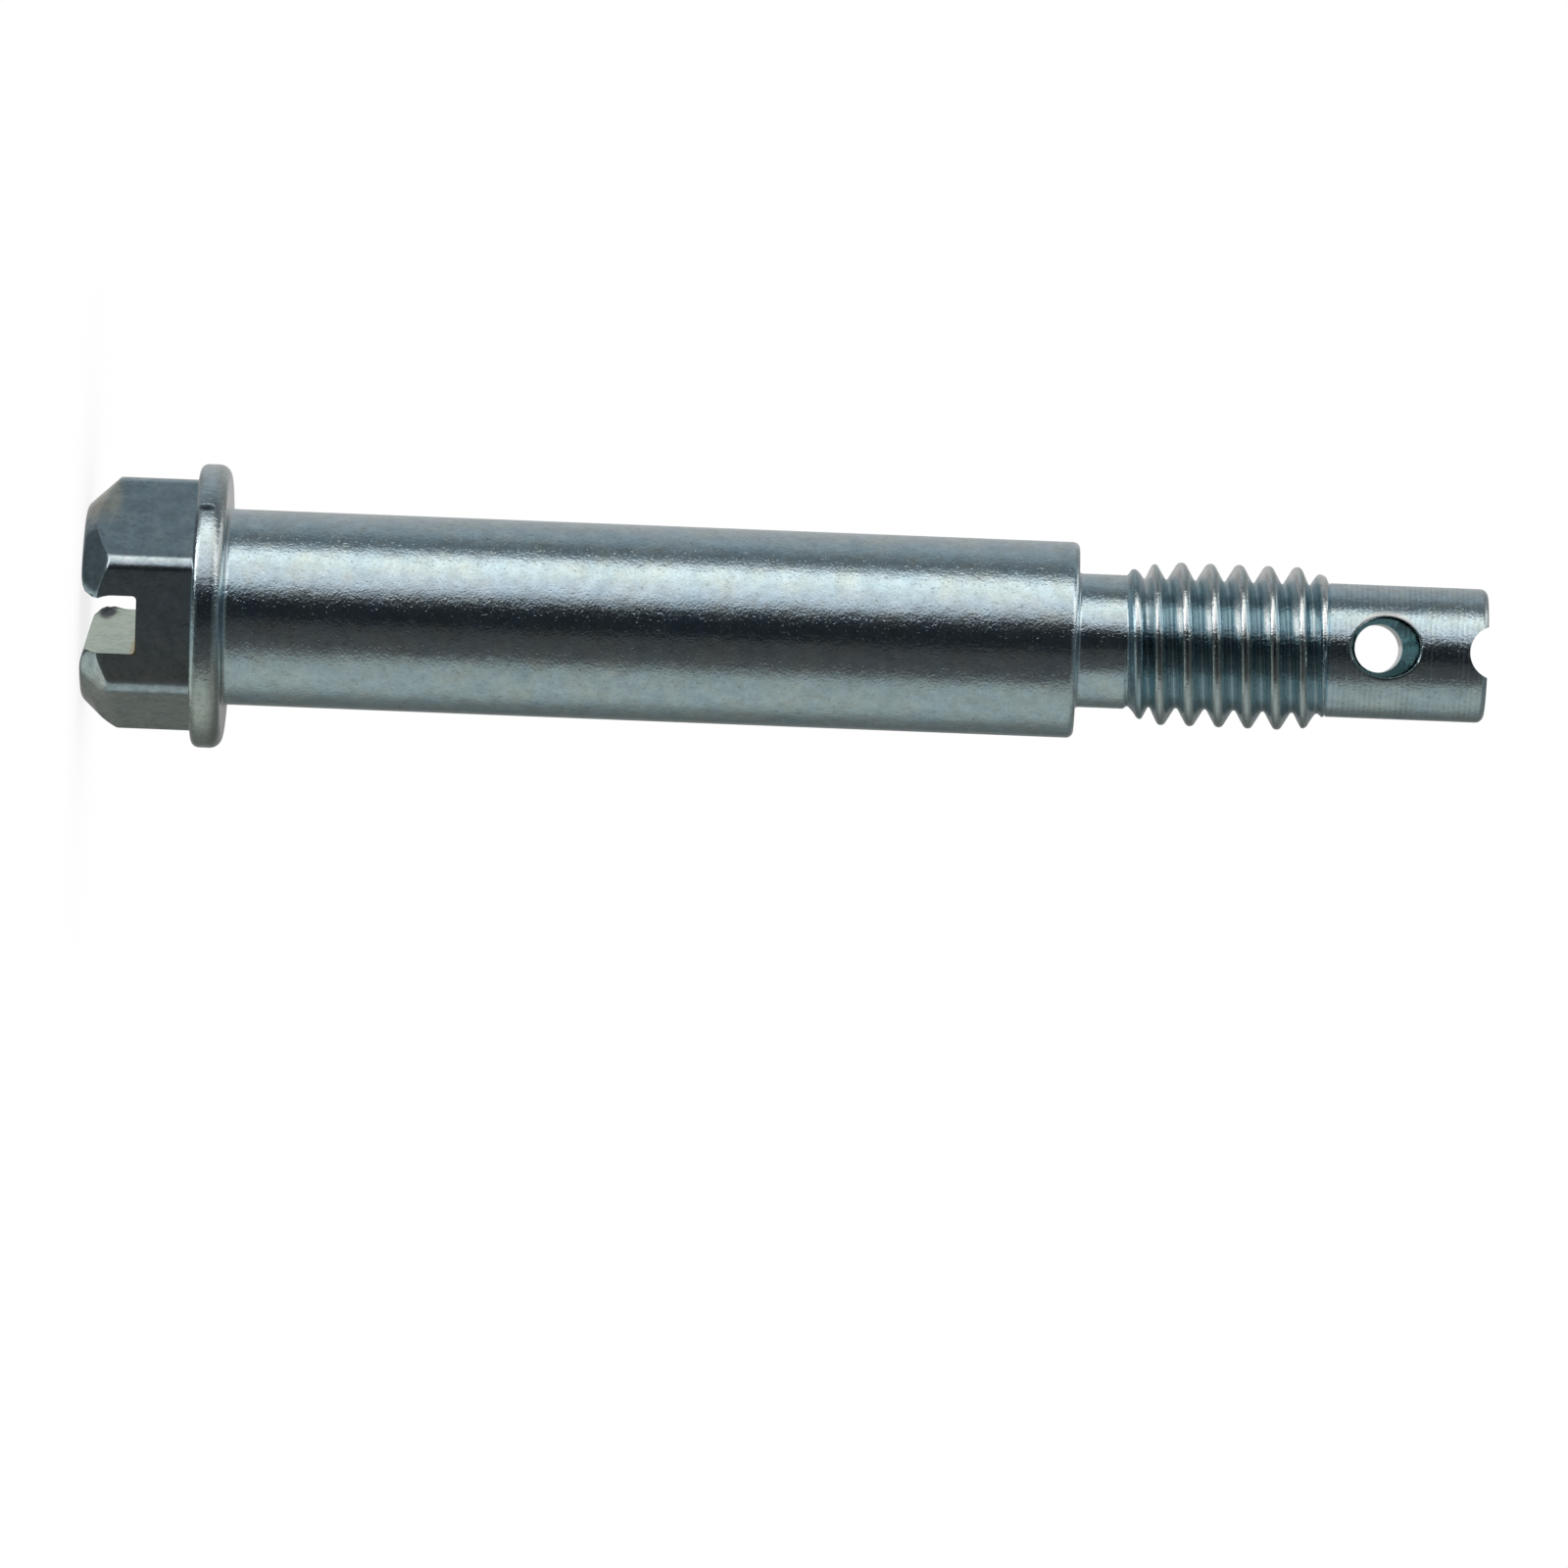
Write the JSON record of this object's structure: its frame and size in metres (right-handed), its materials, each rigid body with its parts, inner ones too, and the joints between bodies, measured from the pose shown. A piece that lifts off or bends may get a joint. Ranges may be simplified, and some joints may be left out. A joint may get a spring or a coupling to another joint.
{
  "type": "brake pad pin",
  "caption": "Turned steel brake pad pin: slotted hexagon flange head, plain shank, relief neck, threaded end and a cross-drilled pilot tip for a locking clip.",
  "frame": {"origin": "centre of the flat end face of the head, on which the pin stands", "axes": "+Z along the pin from the head to the tip; the cross hole runs along Y with its countersunk mouth on the -Y side"},
  "size_m": [0.0138, 0.0138, 0.0681],
  "materials": {
    "zinc_plated_steel": "bright zinc plate with a faint blue cast and a fine grain"
  },
  "bodies": {
    "root": {"pad_pin": "zinc_plated_steel"}
  },
  "joints": []
}
